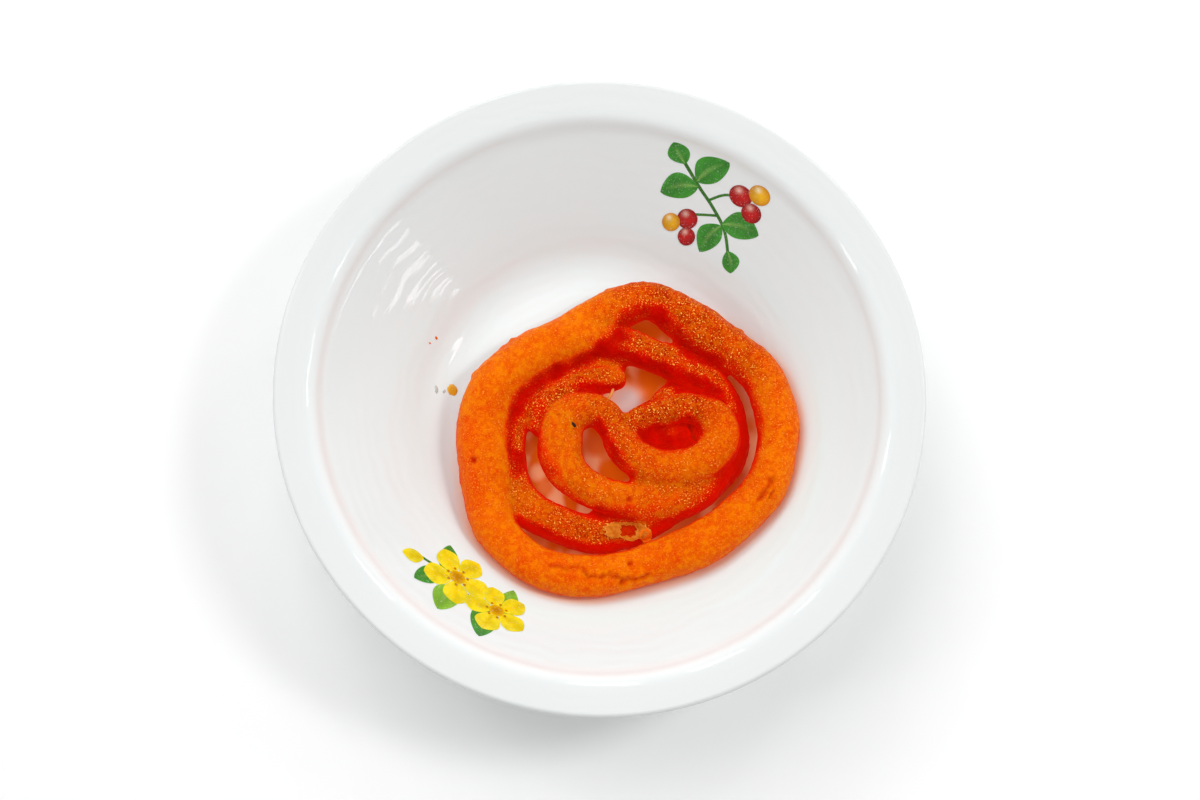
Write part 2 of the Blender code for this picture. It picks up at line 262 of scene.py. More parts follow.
class Nodes:
    """Short ways to add shader nodes to one new material."""

    def __init__(self, name):
        self.material = bpy.data.materials.new(name)
        self.material.use_nodes = True
        self.tree = self.material.node_tree
        self.place = self.tree.nodes.new("ShaderNodeTexCoord").outputs["Object"]

    def put(self, value, socket):
        if isinstance(value, (int, float)):
            socket.default_value = value
        elif isinstance(value, tuple):
            socket.default_value = (*value, 1.0)[: len(socket.default_value)]
        else:
            self.tree.links.new(value, socket)

    def node(self, kind, values):
        """A new node, with a value or a link for each socket that is named."""
        made = self.tree.nodes.new("ShaderNode" + kind)
        for socket, value in values.items():
            self.put(value, made.inputs[socket])
        return made

    def noise(self, pitch_mm, detail=3.0, rough=0.55, distortion=0.0):
        values = {"Vector": self.place, "Scale": 1.0 / (pitch_mm * MM), "Detail": detail}
        values.update({"Roughness": rough, "Distortion": distortion})
        return self.node("TexNoise", values).outputs["Fac"]

    def ramp(self, factor, low, high, to_low=0.0, to_high=1.0):
        values = {"Value": factor, "From Min": low, "From Max": high}
        values.update({"To Min": to_low, "To Max": to_high})
        made = self.node("MapRange", values)
        made.interpolation_type = "SMOOTHSTEP"
        return made.outputs["Result"]

    def maths(self, operation, *values):
        made = self.node("Math", dict(enumerate(values)))
        made.operation = operation
        return made.outputs["Value"]

    def times(self, first, *others):
        for other in others:
            first = self.maths("MULTIPLY", first, other)
        return first

    def length(self, vector, share):
        """Length of a vector, each axis counted by its share."""
        part = self.node("VectorMath", {0: vector, 1: share})
        part.operation = "MULTIPLY"
        made = self.node("VectorMath", {0: part.outputs["Vector"]})
        made.operation = "LENGTH"
        return made.outputs["Value"]

    def mix(self, factor, first, second):
        made = self.tree.nodes.new("ShaderNodeMix")
        made.data_type = "RGBA"
        for socket, value in ((0, factor), (6, first), (7, second)):
            self.put(value, made.inputs[socket])
        return made.outputs[2]

    def bump(self, height, distance_mm, strength=1.0, normal=None):
        values = {"Height": height, "Distance": distance_mm * MM, "Strength": strength}
        if normal is not None:
            values["Normal"] = normal
        return self.node("Bump", values).outputs["Normal"]

    def stored(self, name):
        """What the mesh carries under this name."""
        made = self.node("Attribute", {})
        made.attribute_name = name
        return made.outputs

    def channels(self, name):
        """The four values that the mesh carries under this name."""
        stored = self.stored(name)
        split = self.node("SeparateColor", {"Color": stored["Color"]}).outputs
        return split["Red"], split["Green"], split["Blue"], stored["Alpha"]

    def shaded(self, **values):
        """Sets or links the sockets of the material's own shader."""
        shader = self.tree.nodes["Principled BSDF"]
        for name, value in values.items():
            self.put(value, shader.inputs[name.replace("_", " ")])
        return self.material


BLACK = (0.0, 0.0, 0.0)
# Crust: orange and soaked, dry and sugary, red painted as shade where it is shut in, a brighter
# red and a faint emission painted as light in its hollows, and painted glints; two tones
# each, from one end of a noise to the other
SOAKED = ((0.78, 0.102, 0.0004), (0.84, 0.18, 0.0005))
SOAKED_PATCH = (0.76, 0.056, 0.0004)
PALE_BLOTCH = (0.88, 0.28, 0.001)
RED_BLOTCH = (0.74, 0.042, 0.0004)
DRY = ((0.42, 0.008, 0.0003), (0.6, 0.024, 0.0004))
DARK_SPECK = (0.34, 0.008, 0.0004)
SHADE_RED = ((0.49, 0.0011, 0.0003), (0.63, 0.002, 0.0003))
HOLLOW_GLOW_RED = (0.74, 0.0034, 0.0003)
HALF_SHADE_RED = ((0.82, 0.03, 0.0004), (0.69, 0.015, 0.0004))
CRYSTAL = (0.95, 0.3, 0.006)
CRYSTAL_AND_PAINTED_GLINT = (1, 0.58, 0.09)
SCARRED = (0.6, 0.018, 0.0004)
PAINTED_THROUGH_GLOW = (0.08, 0.002, 0.0)
# Glaze: plain; painted darker on the rim as shade; tinted cyan near the jalebi against its red bounce
# light; painted paler on the band as light; painted shade and glow beside the jalebi and between its
# turns
CLEAN = ((0.824, 0.866, 0.866), (0.85, 0.891, 0.891))
RIM_PAINTED_SHADE = ((0.765, 0.785, 0.78), (0.785, 0.805, 0.8))
BOUNCE_CANCEL_TINT = (0.81, 0.94, 0.935)
GREY_SPECK = (0.6, 0.57, 0.52)
BAND_PAINTED_LIGHT = (0.95, 0.975, 0.97)
BESIDE_FOOD_SHADE = (0.9, 0.74, 0.54)
GAP_SHADE_TONES = ((0.93, 0.51, 0.27), (0.82, 0.17, 0.005))
GAP_GLOW = ((0.17, 0.082, 0.035), (0.1, 0.02, 0.0006))
BESIDE_GLOW = (0.11, 0.044, 0.026)


def crust_material():
    """Fried batter: orange, painted deep red as shade where it is shut in, with painted light and
    glints, dry crystals in places.
    """
    n = Nodes("jalebi crust")
    red_shade, frost, scar, openness = n.channels("skin")
    broad = n.noise(14.0, 2.0)
    patch = n.noise(4.5, 4.0, 0.6, 0.4)
    blotch = n.noise(1.7, 3.0, 0.65, 0.3)
    grain = n.noise(0.8, 3.0, 0.7)
    fleck = n.noise(0.34, 1.5, 0.6)
    glint = n.noise(0.46, 1.0, 0.5)
    pore = n.noise(2.0, 3.0, 0.6)
    clumps = n.ramp(blotch, 0.34, 0.62)
    # Crystals and glints thin out where the crust is painted red as shade
    bare = n.ramp(red_shade, 0.95, 0.45, 0.03, 1.0)

    soaked = n.mix(n.ramp(broad, 0.3, 0.7), *SOAKED)
    soaked = n.mix(n.ramp(patch, 0.42, 0.75, 0.0, 0.6), soaked, SOAKED_PATCH)
    soaked = n.mix(n.ramp(blotch, 0.5, 0.38, 0.0, 0.55), soaked, PALE_BLOTCH)
    soaked = n.mix(n.ramp(blotch, 0.52, 0.68, 0.0, 0.5), soaked, RED_BLOTCH)
    dry = n.mix(n.ramp(patch, 0.3, 0.7), *DRY)
    frosted = n.times(n.ramp(frost, 0.12, 0.75), n.ramp(clumps, 0.0, 1.0, 0.6, 1.0))
    skin = n.mix(frosted, soaked, dry)
    specks = n.times(n.ramp(grain, 0.46, 0.38), n.ramp(frost, 0.15, 0.9, 0.04, 0.5))
    skin = n.mix(specks, skin, DARK_SPECK)
    # Painted shade: the deep red of shut-in places, lower sides and crevices
    shade_red = n.mix(n.ramp(patch, 0.35, 0.65), *SHADE_RED)
    # Painted light: the red is painted brighter where the crust is most shut in, standing in for
    # light that passes through the batter
    shade_red = n.mix(n.ramp(openness, 0.65, 0.3), shade_red, HOLLOW_GLOW_RED)
    # Painted shade: the crust turns from orange through red to deep red where it is painted as shaded
    skin = n.mix(n.ramp(red_shade, 0.0, 0.6), skin, n.mix(n.ramp(frost, 0.2, 0.7), *HALF_SHADE_RED))
    skin = n.mix(n.ramp(red_shade, 0.25, 1.00), skin, shade_red)
    crystals = n.times(
        n.ramp(fleck, 0.57, 0.65),
        n.ramp(frost, 0.1, 0.9, 0.42, 0.7),
        n.ramp(clumps, 0.0, 1.0, 0.3, 1.0),
        bare,
    )
    # Partly the sugar crystals' own pale colour, partly painted highlights: the brightest crystals
    # are painted as pale glints
    crystal_glints = n.times(
        n.ramp(glint, 0.62, 0.67),
        n.ramp(frost, 0.1, 0.8, 0.34, 1.0),
        n.ramp(clumps, 0.0, 1.0, 0.25, 1.0),
        bare,
    )
    for share, tone in ((crystals, CRYSTAL), (crystal_glints, CRYSTAL_AND_PAINTED_GLINT), (scar, SCARRED)):
        skin = n.mix(share, skin, tone)
    solid = n.maths("MAXIMUM", crystals, n.maths("MAXIMUM", crystal_glints, specks))
    relief = n.bump(fleck, 0.14, 0.8, n.bump(grain, 0.28, 0.9, n.bump(pore, 0.34, 0.55)))
    return n.shaded(
        Base_Color=skin,
        Roughness=n.maths("ADD", n.ramp(pore, 0.3, 0.7, 0.36, 0.52), n.times(frost, 0.1)),
        Normal=relief,
        Specular_IOR_Level=0.08,
        Specular_Tint=(1.0, 0.25, 0.02),
        # Painted glow: the crust emits a faint red where it is shut in, standing in for light that
        # passes through the batter
        Emission_Color=n.mix(n.ramp(openness, 0.88, 0.4), BLACK, PAINTED_THROUGH_GLOW),
        Emission_Strength=1.0,
        Subsurface_Weight=n.ramp(solid, 0.0, 0.8, 0.85, 0.1),
        Subsurface_Radius=(1.0, 0.1, 0.02),
        Subsurface_Scale=6.0 * MM,
    )


def ware_material():
    """White glaze, glossy, with painted shade, tint and glow round and under the jalebi, painted
    shade on the rim and painted light on the band.
    """
    n = Nodes("white glazed ware")
    # The "syrup" layer holds painted shade and light: the shade beside the jalebi, the shade between
    # its turns, the rim's shade and the band's light
    touch, shut_in, rim_shade, band_light = n.channels("syrup")
    # How brown the painted shade between the turns is
    tan = n.channels("tones")[0]
    tone = n.noise(38.0, 2.0)
    haze = n.noise(9.0, 4.0, 0.6)
    specks = n.noise(0.8, 1.0)
    waves = n.noise(16.0, 1.5)
    # Painted shade: the same glaze is darker and greyer on the rim
    white = n.mix(rim_shade, n.mix(tone, *CLEAN), n.mix(tone, *RIM_PAINTED_SHADE))
    # Painted correction of light: near the jalebi the glaze is tinted cyan to cancel its red bounce
    # light
    white = n.mix(n.ramp(touch, 0.0, 0.3), white, BOUNCE_CANCEL_TINT)
    white = n.mix(n.ramp(specks, 0.78, 0.82, 0.0, 0.12), white, GREY_SPECK)
    # Painted light: the narrow band is painted paler on its lit side
    white = n.mix(band_light, white, BAND_PAINTED_LIGHT)
    # Painted shade: pinkish tan on the floor where the jalebi hides the sky
    shaded_beside = n.mix(n.ramp(touch, 0.42, 0.8), white, BESIDE_FOOD_SHADE)
    # Painted glow: faint warm emission where the jalebi hides most of the sky
    glow = n.mix(n.ramp(touch, 0.5, 0.95), BLACK, BESIDE_GLOW)
    outward = n.length(n.place, (1.0, 1.0, 0.0))
    phase = n.times(outward, 2 * math.pi / (RIPPLE_PITCH * MM))
    ripples = n.maths("SINE", n.maths("ADD", phase, n.times(waves, RIPPLE_WANDER)))
    return n.shaded(
        # Painted shade: caramel to cream between the turns, where the jalebi shades the floor and
        # reddens its light
        Base_Color=n.mix(shut_in, shaded_beside, n.mix(tan, *GAP_SHADE_TONES)),
        Roughness=n.ramp(haze, 0.3, 0.7, 0.04, 0.08),
        Normal=n.bump(ripples, RIPPLE_HEIGHT, 1.0, n.bump(waves, 0.22, 0.5)),
        # Painted glow: emission between the turns, standing in for light through the jalebi
        Emission_Color=n.mix(shut_in, glow, n.mix(tan, *GAP_GLOW)),
        Emission_Strength=1.0,
        IOR=1.5,
        Specular_IOR_Level=n.ramp(shut_in, 0.2, 0.9, 0.38, 0.03),
    )


def print_material():
    """Printed colours under the glaze, with the faint rosette of a transfer."""
    n = Nodes("printed colours")
    dots = n.noise(0.45, 1.0)
    cloud = n.noise(4.0, 3.0)
    ink = n.mix(n.ramp(cloud, 0.3, 0.7, 0.75, 1.0), BLACK, n.stored("ink")["Color"])
    return n.shaded(
        Base_Color=n.mix(n.ramp(dots, 0.62, 0.7, 0.0, 0.22), ink, (0.85, 0.86, 0.8)),
        Roughness=n.ramp(cloud, 0.3, 0.7, 0.07, 0.12),
        Normal=n.bump(cloud, 0.05, 0.3),
        Specular_IOR_Level=0.38,
    )


def scrap_material(name, deep, pale, pitch, rough, specular=0.4, see_through=0.0, mottle=0.35):
    """Thin fried scraps and syrup: deep tone inside, paler at broken edges."""
    n = Nodes(name)
    edge = n.channels("edge")[0]
    cloud = n.noise(pitch, 3.0, 0.6)
    tone = n.mix(n.ramp(cloud, 0.3, 0.7, 0.0, mottle), deep, pale)
    return n.shaded(
        Base_Color=n.mix(edge, tone, pale),
        Roughness=n.ramp(cloud, 0.3, 0.7, rough * 0.8, rough * 1.2),
        Normal=n.bump(cloud, pitch * 0.15, 0.6),
        Specular_IOR_Level=specular,
        Transmission_Weight=see_through,
    )


def polar(angle, radius=1.0):
    return np.array((math.cos(angle), math.sin(angle))) * radius


def circle(sides, radius=1.0):
    """Places spread evenly round a circle."""
    return np.array([polar(2 * math.pi * i / sides, radius) for i in range(sides)])


def spin_of(angle):
    """The matrix that turns places of a plane."""
    cos, sin = polar(angle)
    return np.array(((cos, -sin), (sin, cos)))


def bands(rings, sides, first=0):
    """Quads between closed rings of vertices that lie one after the other."""
    faces = []
    for k in range(rings - 1):
        low, high = first + k * sides, first + (k + 1) * sides
        for i in range(sides):
            j = (i + 1) % sides
            faces.append((low + i, high + i, high + j, low + j))
    return faces


def rounded(corners, fine_deg):
    """A polyline through (r, z, fillet radius) corners, with each one rounded."""
    points = [np.array(corners[0][:2])]
    for before, here, after in zip(corners, corners[1:], corners[2:]):
        corner = np.array(here[:2])
        back = np.array(before[:2]) - corner
        ahead = np.array(after[:2]) - corner
        back /= norm(back)
        ahead /= norm(ahead)
        half = math.acos(np.clip(back @ ahead, -1.0, 1.0)) / 2
        turn = math.pi - 2 * half
        middle = corner + (back + ahead) / norm(back + ahead) * here[2] / math.sin(half)
        first = corner + back * here[2] / math.tan(half)
        steps = max(4, math.ceil(math.degrees(turn) / fine_deg))
        way = math.copysign(1.0, back[1] * ahead[0] - back[0] * ahead[1])
        for i in range(steps + 1):
            angle = way * turn * i / steps
            points.append(middle + spin_of(angle) @ (first - middle))
    points.append(np.array(corners[-1][:2]))
    return np.array(points)


def bowl_profile():
    """Half section, from the middle of the floor over the lip to the underside."""
    along = np.array((BAND_FOOT_R - FLOOR_R, BAND_FOOT_Z - FLOOR_Z))
    along /= norm(along)
    out = np.array((along[1], -along[0])) * WALL_THICK
    under_z = FLOOR_Z - FLOOR_THICK
    rise = (LIP_Z - RIM_INNER_Z) / (LIP_R - RIM_INNER_R)
    corners = rounded(
        (
            (0.0, FLOOR_Z, 0.0),
            (FLOOR_R, FLOOR_Z, 16.0),
            (BAND_FOOT_R, BAND_FOOT_Z, 13.0),
            (RIM_INNER_R, RIM_INNER_Z, 7.0),
            (LIP_R, LIP_Z, 1.1),
            (LIP_R, LIP_Z - RIM_THICK, 1.1),
            (RIM_INNER_R + 2.2, RIM_INNER_Z - RIM_THICK + 2.0 * rise, 3.0),
            (BAND_FOOT_R + 2.3, BAND_FOOT_Z - 1.8, 4.0),
            (FLOOR_R + out[0] + 1.4, FLOOR_Z + out[1] + 1.4, 1.0),
            (FOOT_R, 0.0, 0.5),
            (FOOT_R - FOOT_WIDE, 0.0, 0.5),
            (FOOT_R - FOOT_WIDE - 0.8, under_z, 0.6),
            (0.0, under_z, 0.0),
        ),
        8.0,
    )
    points = [corners[0]]
    lip = int(np.argmax(corners[:, 1]))
    for i, (start, end) in enumerate(zip(corners, corners[1:])):
        pitch = FLOOR_PITCH if i < lip and start[0] < STAIN_REACH_R else WALL_PITCH
        steps = max(1, math.ceil(norm(end - start) / pitch))
        for k in range(1, steps + 1):
            points.append(start + (end - start) * k / steps)
    return np.array(points)


def inner_side(profile):
    return profile[: int(np.argmax(profile[:, 1])) + 1]


def bowl_height(radius, profile):
    """Height of the bowl's inner surface at a radius."""
    inner = inner_side(profile)
    return np.interp(radius, inner[:, 0], inner[:, 1])


def on_wall(profile, azimuth_deg, radius, u, v, lift):
    """Places of a print's plane: u runs round the bowl, v up its wall."""
    inner = inner_side(profile)
    length = np.r_[0.0, np.cumsum(norm(np.diff(inner, axis=0), axis=1))]

    def at(way):
        return np.stack([np.interp(way, length, column) for column in inner.T])

    along = np.interp(radius, inner[:, 0], length) + v
    here = at(along)
    way = at(along + 0.5) - here
    way /= norm(way, axis=0)
    angle = math.radians(azimuth_deg) - u / radius
    r, z = here + lift * np.stack((-way[1], way[0]))
    return np.stack((r * np.cos(angle), r * np.sin(angle), z), axis=1)


def added(name, data):
    """A new object in the scene."""
    made = bpy.data.objects.new(name, data)
    bpy.context.scene.collection.objects.link(made)
    return made


def piece(name, mesh, look, node_name):
    made = added(name, mesh)
    mesh.materials.append(look)
    mesh.shade_smooth()
    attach(made, "root")
    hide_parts(node_name)


def paint(mesh, layer, values):
    """Stores up to four values for every vertex."""
    rgba = np.ones((len(values), 4))
    rgba[:, : values.shape[1]] = values
    made = mesh.color_attributes.new(layer, "FLOAT_COLOR", "POINT")
    made.data.foreach_set("color", rgba.ravel())


def mesh_of(name, places_mm, faces):
    data = bpy.data.meshes.new(name)
    data.from_pydata([tuple(place) for place in np.asarray(places_mm) * MM], [], faces)
    data.validate()
    data.update()
    return data


def turned(profile, sides):
    """Vertices and faces of a profile that starts and ends on the axis, turned about it."""
    places = [(0.0, 0.0, profile[0][1]), (0.0, 0.0, profile[-1][1])]
    for radius, height in profile[1:-1]:
        places += [(x, y, height) for x, y in circle(sides, radius)]
    faces = bands(len(profile) - 2, sides, 2)
    last = len(places) - sides
    for i in range(sides):
        j = (i + 1) % sides
        faces += [(0, 2 + i, 2 + j), (1, last + j, last + i)]
    return np.array(places), faces


def spline(knots, step):
    """Evenly spaced stations on a centripetal Catmull-Rom curve through the knots."""
    knots = np.array(knots)
    padded = np.vstack((2 * knots[0] - knots[1], knots, 2 * knots[-1] - knots[-2]))
    fine = []
    for four in zip(padded, padded[1:], padded[2:], padded[3:]):
        gaps = [norm((b - a)[:3]) ** 0.5 for a, b in zip(four, four[1:])]
        times = np.cumsum((0.0, *gaps))
        for now in np.linspace(times[1], times[2], 24, endpoint=False):
            row = four
            for spans in (((0, 1), (1, 2), (2, 3)), ((0, 2), (1, 3)), ((1, 2),)):
                shares = [(now - times[i]) / (times[j] - times[i]) for i, j in spans]
                row = [a + (b - a) * share for a, b, share in zip(row, row[1:], shares)]
            fine.append(row[0])
    fine.append(knots[-1])
    fine = np.array(fine)
    length = np.r_[0.0, np.cumsum(norm(np.diff(fine[:, :3], axis=0), axis=1))]
    count = max(2, round(length[-1] / step))
    wanted = np.linspace(0.0, length[-1], count + 1)
    return np.array([np.interp(wanted, length, column) for column in fine.T]).T


def with_caps(stations):
    """Adds shrinking stations past both ends, so that the rope ends are round."""

    def cap(end, inward):
        away = (end - inward)[:3]
        away /= norm(away)
        made = []
        for i in range(1, CAP_RINGS + 1):
            angle = math.pi / 2 * i / (CAP_RINGS + 0.35)
            place = end[:3] + away * end[3] * 0.8 * math.sin(angle)
            made.append((*place, end[3] * math.cos(angle), *end[4:]))
        return made

    head = cap(stations[0], stations[1])[::-1]
    tail = cap(stations[-1], stations[-2])
    return np.vstack((head, stations, tail))


def tube(stations, sides):
    """Vertices and faces of one closed tube along the stations."""
    tangents = np.gradient(stations[:, :3], axis=0)
    tangents /= norm(tangents, axis=1)[:, None]
    places = []
    for station, tangent in zip(stations, tangents):
        side = np.cross(tangent, (0.0, 0.0, 1.0))
        side /= norm(side)
        top = np.cross(side, tangent) * ROPE_FLATNESS
        for across, up in circle(sides, station[3]):
            places.append(station[:3] + side * across + top * up)
    ends = [tuple(range(sides)), tuple(range(len(places) - sides, len(places)))[::-1]]
    return np.array(places), ends + bands(len(stations), sides)


def fused(ropes, voxel_mm):
    """The overlapping tubes as one skin of even quads."""
    mesh = bmesh.new()
    for places, faces in ropes:
        verts = [mesh.verts.new(place * MM) for place in places]
        for face in faces:
            mesh.faces.new([verts[i] for i in face])
    bmesh.ops.recalc_face_normals(mesh, faces=mesh.faces)
    data = bpy.data.meshes.new("fused")
    mesh.to_mesh(data)
    mesh.free()
    holder = added("fused", data)
    remesh = holder.modifiers.new("skin", "REMESH")
    remesh.mode = "VOXEL"
    remesh.voxel_size = voxel_mm * MM
    graph = bpy.context.evaluated_depsgraph_get()
    made = bpy.data.meshes.new_from_object(holder.evaluated_get(graph))
    bpy.data.objects.remove(holder)
    return made


def rows_of(items, name, width, kind=float):
    """One property of all vertices or edges, a row for each."""
    flat = np.empty(len(items) * width, kind)
    items.foreach_get(name, flat)
    return flat.reshape(-1, width)


def edges_of(mesh):
    return rows_of(mesh.edges, "vertices", 2, np.int64)


def normals_of(mesh):
    return rows_of(mesh.vertex_normals, "vector", 3)


def set_coords(mesh, places):
    mesh.vertices.foreach_set("co", (places * MM).ravel())
    mesh.update()


def averaged(values, edges, rounds, share=0.5):
    """Each vertex's value drawn towards the mean of its neighbours."""
    count = np.bincount(edges.ravel(), minlength=len(values)).astype(float)
    values = values.astype(float).copy()
    columns = values.reshape(len(values), -1)
    for _ in range(rounds):
        for column in columns.T:
            total = np.bincount(edges[:, 0], column[edges[:, 1]], len(values))
            total += np.bincount(edges[:, 1], column[edges[:, 0]], len(values))
            column += share * (total / count - column)
    return values


def frost_at(places, stations):
    """The crust's dryness at each place, from the rope stations round it."""
    made = np.empty(len(places))
    for start in range(0, len(places), 4000):
        part = places[start : start + 4000]
        gap = norm(part[:, None, :] - stations[None, :, :3], axis=2)
        gap = gap / stations[None, :, 3]
        weight = np.exp(-(gap - gap.min(axis=1, keepdims=True)) / 0.12)
        made[start : start + 4000] = (weight * stations[:, 4]).sum(1) / weight.sum(1)
    return made


def openness_of(tree, places, normals, reach_mm, rays, below=0.45):
    """The share of free sky over each place; what is seen below counts for less."""
    golden = math.pi * (3.0 - math.sqrt(5.0))
    index = np.arange(rays) + 0.5
    height = np.sqrt(index / rays)
    flat = np.sqrt(1.0 - height**2)
    spread = np.stack((flat * np.cos(golden * index), flat * np.sin(golden * index), height), axis=1)
    helper = np.where(np.abs(normals[:, 2:3]) < 0.9, (0.0, 0.0, 1.0), (1.0, 0.0, 0.0))
    first = np.cross(normals, helper)
    first /= norm(first, axis=1)[:, None]
    second = np.cross(normals, first)
    starts = places + normals * 0.15
    made = np.empty(len(places))
    for i in range(len(places)):
        ways = spread @ np.array((first[i], second[i], normals[i]))
        start = Vector(starts[i])
        free = 0.0
        for way in ways:
            if tree.ray_cast(start, way, reach_mm)[0] is None:
                free += 1.0 if way[2] > 0.0 else below
        made[i] = free / rays
    return made


def enclosed(tree, places, rays):
    """The share of low looks round each place that end on the jalebi."""
    rises = (14.0, 28.0, 42.0)
    made = np.empty(len(places))
    for i, place in enumerate(places):
        start = Vector(place) + Vector((0.0, 0.0, 0.3))
        met = 0
        for k in range(rays):
            rise = math.radians(rises[k % len(rises)])
            turn = 2 * math.pi * (k + 0.5) / rays
            flat = math.cos(rise)
            way = Vector((flat * math.cos(turn), flat * math.sin(turn), math.sin(rise)))
            met += tree.ray_cast(start, way, 60.0)[0] is not None
        made[i] = met / rays
    return made


def eased(values, low, high):
    share = np.clip((values - low) / (high - low), 0.0, 1.0)
    return share * share * (3.0 - 2.0 * share)


def noises(places, pitch, seed):
    return np.array([noise.noise(Vector(place / pitch) + Vector(seed)) for place in places])


def gap_to(places, path, scale=1.0):
    """How far each place is from the nearest point of a path."""
    gap = np.full(len(places), np.inf)
    for spot in path:
        gap = np.minimum(gap, norm((places - spot) * scale, axis=1))
    return gap


def laid_over(first, second):
    """Two shares of the same thing together."""
    return 1.0 - (1.0 - first) * (1.0 - second)


def red_shade_at(places, openness, normals):
    """How red and bare the crust is, the red painted as shade: on its marked sides, on sides that
    turn away from the top, and where it is shut in.
    """
    ragged = noises(places, 5.0, (2.0, 8.0, 1.0)) + 0.6 * noises(places, 1.8, (4.0, 3.0, 6.0))
    # Painted shade: red where the crust is shut in from the sky
    shut_in = 0.92 * eased(openness + 0.07 * ragged, 0.76, 0.38)
    # Painted shade: red on sides that turn away from the top
    flank = 0.35 * eased(normals[:, 2] + 0.15 * ragged, 0.6, 0.1)
    made = laid_over(shut_in, flank)
    # Painted shade: deep red along the listed sides and hollows
    for half, depth, knots in RED_SHADE_ZONES:
        path = spline([(*knot, half) for knot in knots], 0.8)[:, :3]
        gap = gap_to(places, path, (1.0, 1.0, 0.55)) / half
        made = laid_over(made, depth * eased(gap + 0.3 * ragged, 1.75, 0.25))
    return made


def jagged(knots, step, wander, seed):
    """A crack's path: the knots joined, then thrown a little to both sides."""
    knots = np.array(knots)
    length = np.r_[0.0, np.cumsum(norm(np.diff(knots, axis=0), axis=1))]
    wanted = np.arange(0.0, length[-1], step)
    path = np.array([np.interp(wanted, length, column) for column in knots.T]).T
    for i in range(len(path)):
        for axis in (0, 1):
            path[i, axis] += wander * noise.noise(Vector((i * 0.45, axis * 9.0, seed)))
    return path


def cracked(places, on_top, lift, scar):
    """Adds the cracks' grooves, broken edges and steps to the crust's relief."""
    rag = noises(places, 1.3, (9.0, 1.0, 4.0))
    for i, (knots, half, depth) in enumerate(CRACKS):
        is_long = len(knots) > 5
        path = jagged(knots, 0.4, 1.3 if is_long else 0.6, 5.0 + i)
        level = on_top * (np.abs(places[:, 2] - path[:, 2].mean()) < 5.0)
        gap = gap_to(places, path, (1.0, 1.0, 0.0)) * (1.0 + 0.8 * rag)
        groove = np.exp(-((gap / half) ** 2)) * level
        flake = np.exp(-(((gap - 2.0 * half) / (0.8 * half)) ** 2)) * level
        lift = lift - depth * groove
        lift += 0.35 * depth * flake * np.clip(0.5 + 2.0 * rag, 0.0, 1.0)
        if is_long:
            order = np.argsort(path[:, 0])
            line = np.interp(places[:, 0], path[order, 0], path[order, 1])
            step = np.where(places[:, 1] > line, STEP_RISE, STEP_DROP)
            lift += step * np.exp(-((gap / STEP_REACH) ** 2)) * level
        scar = np.maximum(scar, 0.7 * groove)
    return lift, scar


def relief_of(places, normals, frost):
    """How far the crust stands out at each place, and how scarred it is there."""
    lift = np.zeros(len(places))
    scar = np.zeros(len(places))
    for pitch, height in LUMPS:
        share = 0.7 + 0.6 * frost if pitch < 4.0 else 1.0
        lift += height * share * noises(places, pitch, (3.1, 7.7, pitch))
    for *place, radius, height in NUBS:
        lift += height * np.exp(-((gap_to(places, [place]) / radius) ** 2))
    for *place, radius, depth in BUBBLES:
        gap = gap_to(places, [place], (1.0, 1.0, 0.4)) / radius
        pit = np.exp(-(gap**4))
        lift += depth * (0.25 * np.exp(-(((gap - 1.35) / 0.35) ** 2)) - pit)
        scar = np.maximum(scar, pit)
    on_top = np.clip(normals[:, 2] * 2.0, 0.0, 1.0)
    lift, scar = cracked(places, on_top, lift, scar)
    hole = norm((places[:, :2] - BLISTER_HOLE) / BLISTER_HOLE_HALF, axis=1)
    hole = np.clip(1.6 - hole, 0.0, 0.6) / 0.6 * (np.abs(places[:, 2] - BLISTER_Z) < 4.0) * on_top
    return lift - BLISTER_HOLE_DEPTH * hole, np.maximum(scar, hole)


def jalebi(look, profile):
    """The fused rope with its relief, and a tree for looking at it from elsewhere."""
    runs = [with_caps(spline(knots, STATION_STEP)) for knots in ROPES]
    skin = fused([tube(run, TUBE_SIDES) for run in runs], VOXEL)
    edges = edges_of(skin)
    places = averaged(rows_of(skin.vertices, "co", 3) / MM, edges, SMOOTH_ROUNDS)
    set_coords(skin, places)
    normals = normals_of(skin)
    spots = np.zeros(len(places))
    for *place, radius, share in FROST_SPOTS:
        spots = np.maximum(spots, share * eased(gap_to(places, [place]) / radius, 1.3, 0.6))
    frost = np.maximum(frost_at(places, np.vstack(runs)), spots)
    lift, scar = relief_of(places, normals, frost)
    places = places + normals * lift[:, None]
    floor = bowl_height(np.hypot(places[:, 0], places[:, 1]), profile) + JALEBI_GAP
    places[:, 2] = np.maximum(places[:, 2], floor)
    set_coords(skin, places)

    normals = normals_of(skin)
    faces = [tuple(face.vertices) for face in skin.polygons]
    tree = BVHTree.FromPolygons([Vector(place) for place in places], faces)
    rays = 24
    openness = averaged(openness_of(tree, places, normals, 40.0, rays), edges, 6)
    # Painted shade: deep red where the crust is shut in, on its sides and along the listed zones,
    # less on the frosted spots
    red_shade = red_shade_at(places, openness, normals) * (1.0 - 0.8 * spots)
    red_shade, scar = averaged(red_shade, edges, 2), averaged(scar, edges, 1)
    paint(skin, "skin", np.column_stack((red_shade, frost, scar, openness)))
    skin.name = "jalebi_skin"
    piece("jalebi_skin", skin, look, "jalebi")
    return tree


